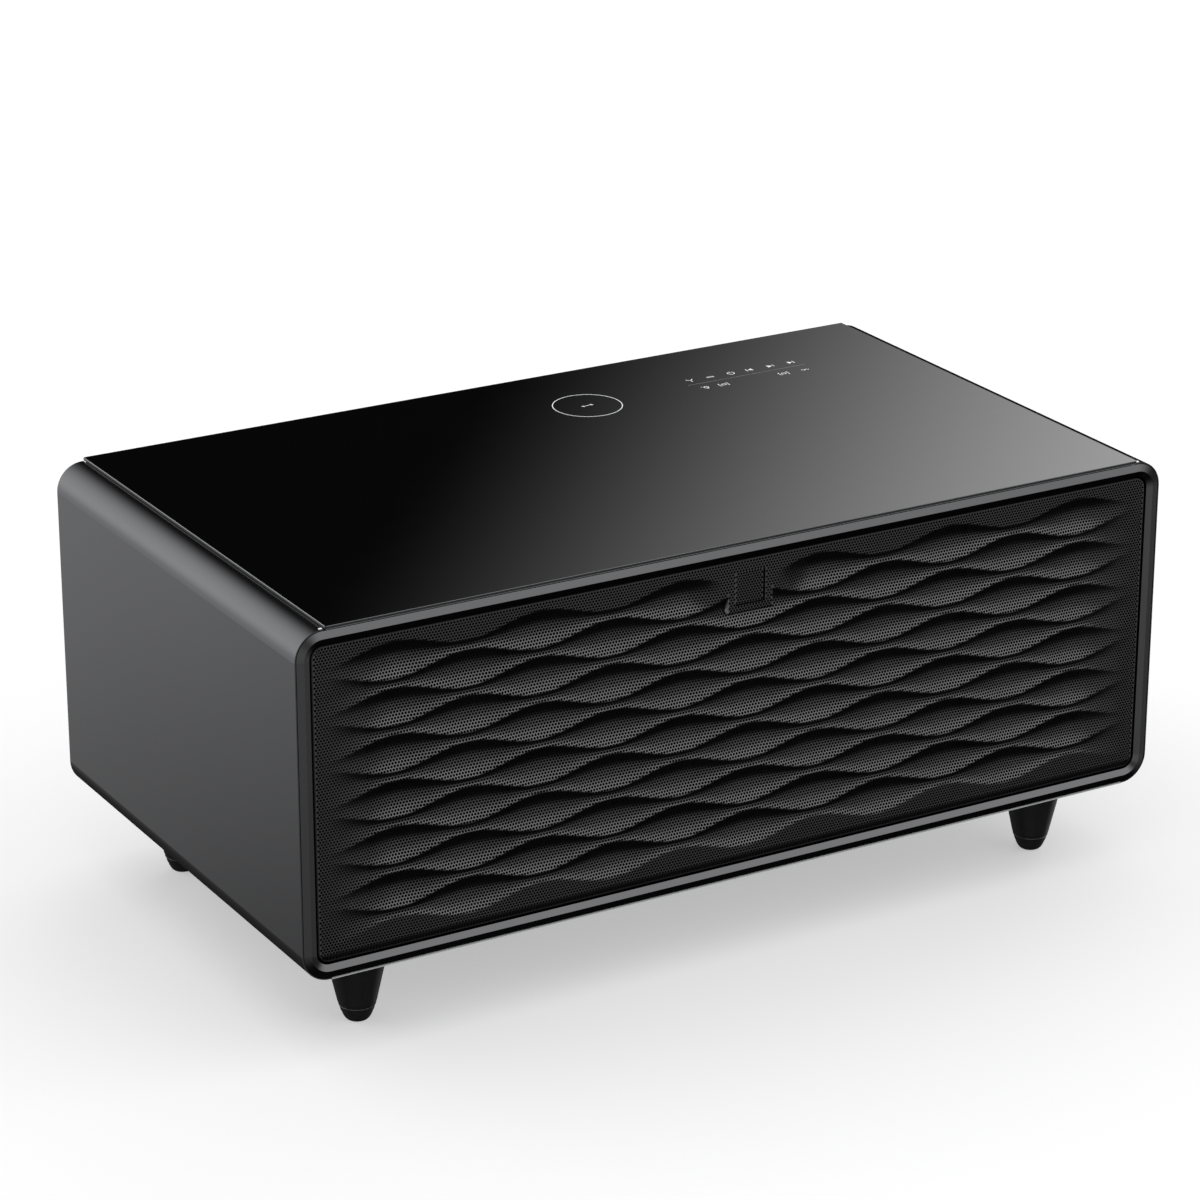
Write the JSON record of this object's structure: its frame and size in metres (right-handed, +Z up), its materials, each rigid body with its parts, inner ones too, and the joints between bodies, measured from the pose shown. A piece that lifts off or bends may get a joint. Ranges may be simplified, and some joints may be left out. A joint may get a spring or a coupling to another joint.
{
  "type": "refrigerator coffee table",
  "caption": "Low coffee table with a glass top and a wave-pressed perforated drawer front that pulls out a cooled tub; speakers behind the front, compressor bay at the back.",
  "frame": {"origin": "on the floor, under the middle of the table", "axes": "+X to the right seen from the front, +Y to the back, +Z up; the drawer opens towards -Y"},
  "size_m": [0.9, 0.5, 0.407],
  "materials": {
    "casing_paint": "satin",
    "plated_steel": "satin",
    "black_steel": "satin",
    "foam_tape": "matte",
    "black_glass": "gloss",
    "frame_metal": "satin",
    "screw_steel": "satin",
    "foot_plastic": "satin",
    "foot_rubber": "matte",
    "black_plastic": "satin",
    "circuit_board": "satin",
    "copper": "satin",
    "rigid_foam": "matte",
    "white_liner": "gloss",
    "aluminium": "satin",
    "light_lens": "satin",
    "slide_steel": "satin",
    "grille_paint": "satin",
    "gasket_rubber": "matte",
    "tub_plastic": "gloss",
    "white_plastic": "satin",
    "box_board": "matte",
    "speaker_paper": "matte",
    "compressor_paint": "gloss"
  },
  "bodies": {
    "root": {"amplifier_board": "circuit_board", "base_plate": "plated_steel", "cabinet_foam": "rigid_foam", "cabinet_liner": "white_liner", "charger_board": "circuit_board", "charging_coil": "copper", "charging_coil_housing": "black_plastic", "compressor": "compressor_paint", "compressor_grommets": "gasket_rubber", "condenser": "aluminium", "drip_tray": "white_plastic", "evaporator_plate": "aluminium", "fan_motor": "black_plastic", "fan_shroud": "black_plastic", "feet": "foot_plastic", "filter_drier": "copper", "foot_plates": "plated_steel", "foot_studs": "screw_steel", "foot_tips": "foot_rubber", "front_bezel": "frame_metal", "glass_bonding_strips": "foam_tape", "glass_top": "black_glass", "interior_light": "light_lens", "latch_housing": "black_plastic", "left_side_shell": "casing_paint", "left_slide_rail": "slide_steel", "left_speaker_box": "box_board", "machine_tray": "plated_steel", "main_board": "circuit_board", "mains_inlet": "black_plastic", "mounting_lugs": "plated_steel", "power_supply": "plated_steel", "rear_bezel": "frame_metal", "rear_panel": "black_steel", "rear_panel_screws": "screw_steel", "refrigerant_tubes": "copper", "right_side_shell": "casing_paint", "right_slide_rail": "slide_steel", "right_speaker_box": "box_board", "speaker_isolators": "gasket_rubber", "switch_housing": "black_plastic", "top_deck": "plated_steel", "touch_control_board": "circuit_board", "tweeters": "black_plastic", "woofer_baskets": "black_steel", "woofer_cones": "speaker_paper"},
    "drawer": {"drawer_front_grille": "grille_paint", "fascia_frame": "black_plastic", "door_core": "rigid_foam", "door_gasket": "gasket_rubber", "drawer_tub": "tub_plastic", "tub_dividers": "tub_plastic", "left_slide_inner": "slide_steel", "right_slide_inner": "slide_steel", "latch_strike": "plated_steel"},
    "left_middle_member": {"left_slide_middle": "slide_steel"},
    "right_middle_member": {"right_slide_middle": "slide_steel"},
    "latch_pin": {"latch_plunger": "white_plastic"},
    "fan": {"fan_rotor": "black_plastic"},
    "rocker": {"rocker_switch": "black_plastic"}
  },
  "joints": [
    {"name": "drawer_slide", "type": "slide", "parent": "root", "child": "drawer", "axis": [0, -1, 0], "range_m": [0, 0.25]},
    {"name": "left_middle_slide", "type": "slide", "parent": "root", "child": "left_middle_member", "axis": [0, -1, 0], "range_m": [0, 0.125]},
    {"name": "right_middle_slide", "type": "slide", "parent": "root", "child": "right_middle_member", "axis": [0, -1, 0], "range_m": [0, 0.125]},
    {"name": "latch_press", "type": "slide", "parent": "root", "child": "latch_pin", "axis": [0, 1, 0], "range_m": [0, 0.004], "stiffness_N_per_m": 600, "springref_m": -0.002},
    {"name": "fan_spin", "type": "hinge", "parent": "root", "child": "fan", "pos_m": [-0.02, 0.193, 0.195], "axis": [0, 1, 0], "continuous": true},
    {"name": "rocker_tilt", "type": "hinge", "parent": "root", "child": "rocker", "pos_m": [-0.326, 0.243, 0.142], "axis": [0, 0, 1], "range_deg": [0, 16]}
  ],
  "couplings": [
    {"joint": "left_middle_slide", "follows": "drawer_slide", "ratio": 0.5},
    {"joint": "right_middle_slide", "follows": "drawer_slide", "ratio": 0.5}
  ]
}
